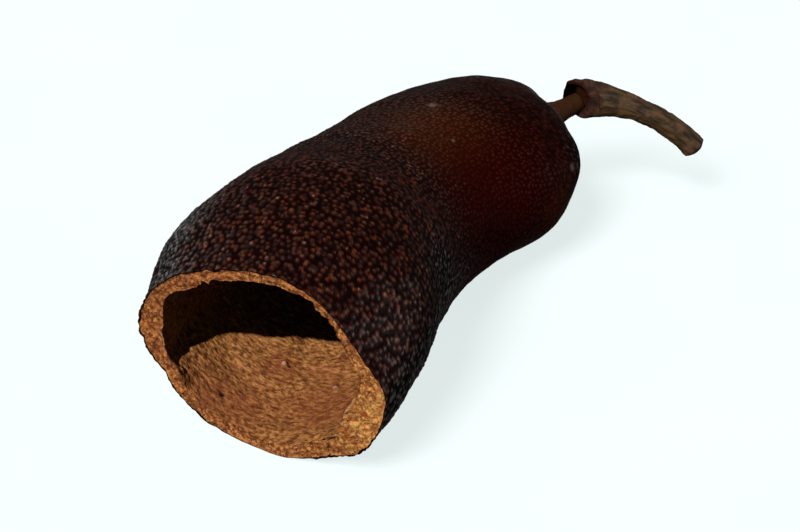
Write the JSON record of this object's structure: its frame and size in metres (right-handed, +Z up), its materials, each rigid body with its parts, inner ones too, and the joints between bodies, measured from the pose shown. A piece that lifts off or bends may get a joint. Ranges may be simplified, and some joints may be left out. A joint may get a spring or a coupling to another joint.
{
  "type": "jatoba seed pod",
  "caption": "Dark pebbled woody seed pod, bent and blunt at one end with a stalk, cut across at the other to show a thick corky wall and an empty hollow; lies on a flat side.",
  "frame": {"origin": "middle of the small flat spot on the underside that the pod rests on", "axes": "+Z up, +Y along the pod from its cut mouth towards the stalk end, +X towards the side that the stalk end bends to"},
  "size_m": [0.0991, 0.1415, 0.0515],
  "materials": {
    "rind": "dark pebbled woody rind, satin, with orange-brown cork where it is cut",
    "bark": "rough grey-brown bark"
  },
  "bodies": {
    "root": {"pod": "rind", "stalk": "bark"}
  },
  "joints": []
}
